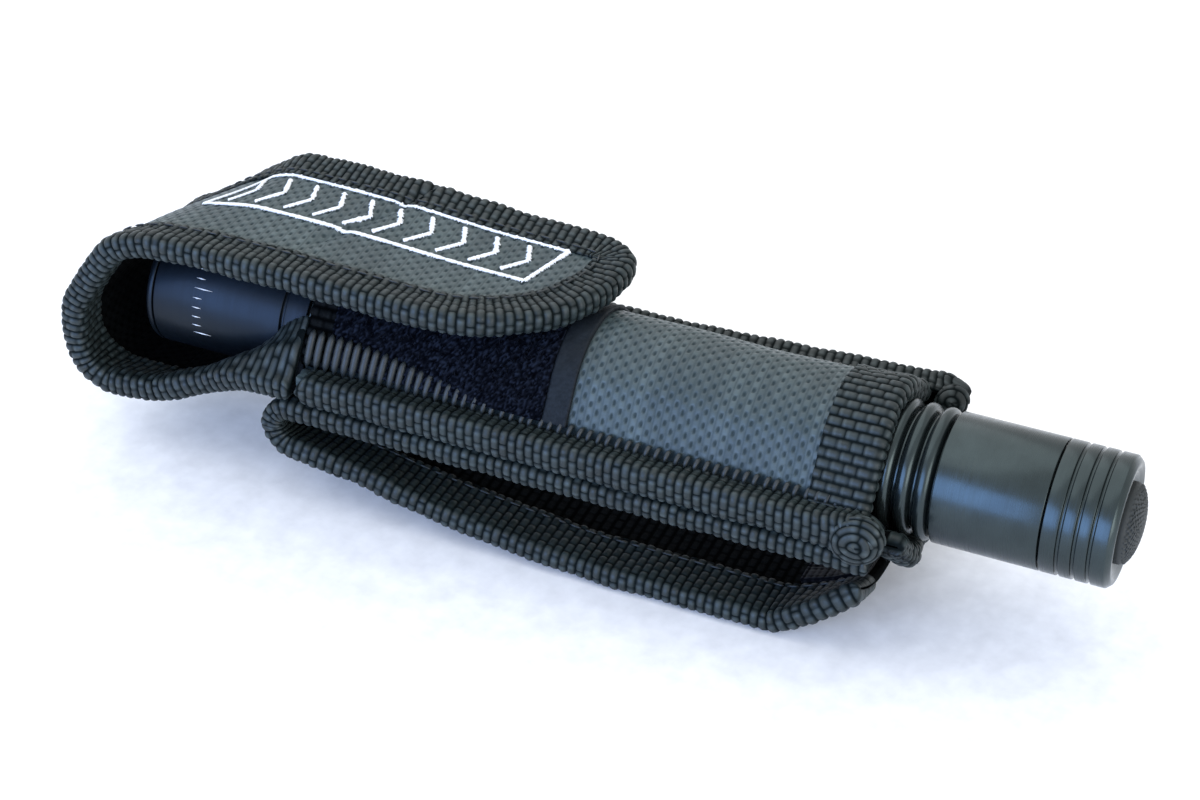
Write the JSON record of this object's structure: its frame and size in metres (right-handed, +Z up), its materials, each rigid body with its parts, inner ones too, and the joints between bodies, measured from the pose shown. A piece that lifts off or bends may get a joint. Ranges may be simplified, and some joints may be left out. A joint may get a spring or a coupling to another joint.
{
  "type": "tactical flashlight in belt pouch",
  "caption": "Slim black two-cell tactical flashlight held in a woven belt pouch with a fold-over flap and an opening belt loop.",
  "frame": {"origin": "centre of the bounding box in plan, on the surface that the belt loop rests on", "axes": "+X along the light's axis towards the tail switch, +Z up towards the flap, +Y away from the near side of the pouch"},
  "size_m": [0.1712, 0.039, 0.0424],
  "materials": {
    "anodised": "satin black hard anodised, fine turned lines",
    "nylon": "coated ballistic nylon basket weave, slightly glossy",
    "webbing": "ribbed polypropylene binding tape",
    "strap": "woven strap with padded core",
    "hook": "hook tape",
    "loop": "brushed loop pile",
    "rubber": "matt black, textured",
    "plastic": "moulded black",
    "lens_glass": "clear, polished",
    "chrome": "vacuum metallised",
    "bare_aluminium": "bare",
    "brass": "turned",
    "emitter": "silicone over yellow phosphor",
    "circuit": "green solder mask",
    "steel": "plated spring wire",
    "battery": "plain jacket with no print"
  },
  "bodies": {
    "pouch": {"back_panel": "nylon", "front_panel": "nylon", "front_loop_patch": "loop", "mouth_hem": "webbing", "base_hem": "webbing", "side_binding_near": "webbing", "side_binding_far": "webbing", "neck_binding_near": "webbing", "neck_binding_far": "webbing", "back_strap": "strap", "strap_binding_near": "webbing", "strap_binding_far": "webbing", "strap_loop_patch": "loop"},
    "flap": {"flap": "nylon", "flap_binding": "webbing", "flap_hook_patch": "hook"},
    "belt_loop": {"belt_loop": "strap", "loop_binding_near": "webbing", "loop_binding_far": "webbing", "loop_hook_patch": "hook"},
    "flashlight": {"head_shell": "anodised", "bezel_ring": "anodised", "body_tube": "anodised", "lens": "lens_glass", "lens_o_ring": "rubber", "head_o_ring": "rubber", "reflector": "chrome", "led_emitter": "emitter", "led_board": "bare_aluminium", "led_pill": "brass", "driver_board": "circuit", "driver_spring": "steel", "battery_front": "battery", "battery_rear": "battery"},
    "tail_cap": {"tail_cap": "anodised", "tail_o_ring": "rubber", "switch_housing": "plastic", "switch_retaining_ring": "brass", "tail_spring": "steel"},
    "switch_button": {"switch_boot": "rubber", "switch_plunger": "plastic"}
  },
  "joints": [
    {"name": "flap_hinge", "type": "hinge", "parent": "pouch", "child": "flap", "pos_m": [-0.08535, 0, 0.0242], "axis": [0, -1, 0], "range_deg": [0, 150]},
    {"name": "loop_hinge", "type": "hinge", "parent": "pouch", "child": "belt_loop", "pos_m": [-0.05085, 0, 0.014], "axis": [0, 1, 0], "range_deg": [0, 65]},
    {"name": "light_slide", "type": "slide", "parent": "pouch", "child": "flashlight", "axis": [1, 0, 0], "range_m": [0, 0.125]},
    {"name": "tail_cap_turn", "type": "hinge", "parent": "flashlight", "child": "tail_cap", "pos_m": [0.07265, 0, 0.0234], "axis": [1, 0, 0], "range_deg": [0, 90]},
    {"name": "switch_press", "type": "slide", "parent": "tail_cap", "child": "switch_button", "axis": [-1, 0, 0], "range_m": [0, 0.0015], "stiffness_N_per_m": 1500}
  ]
}
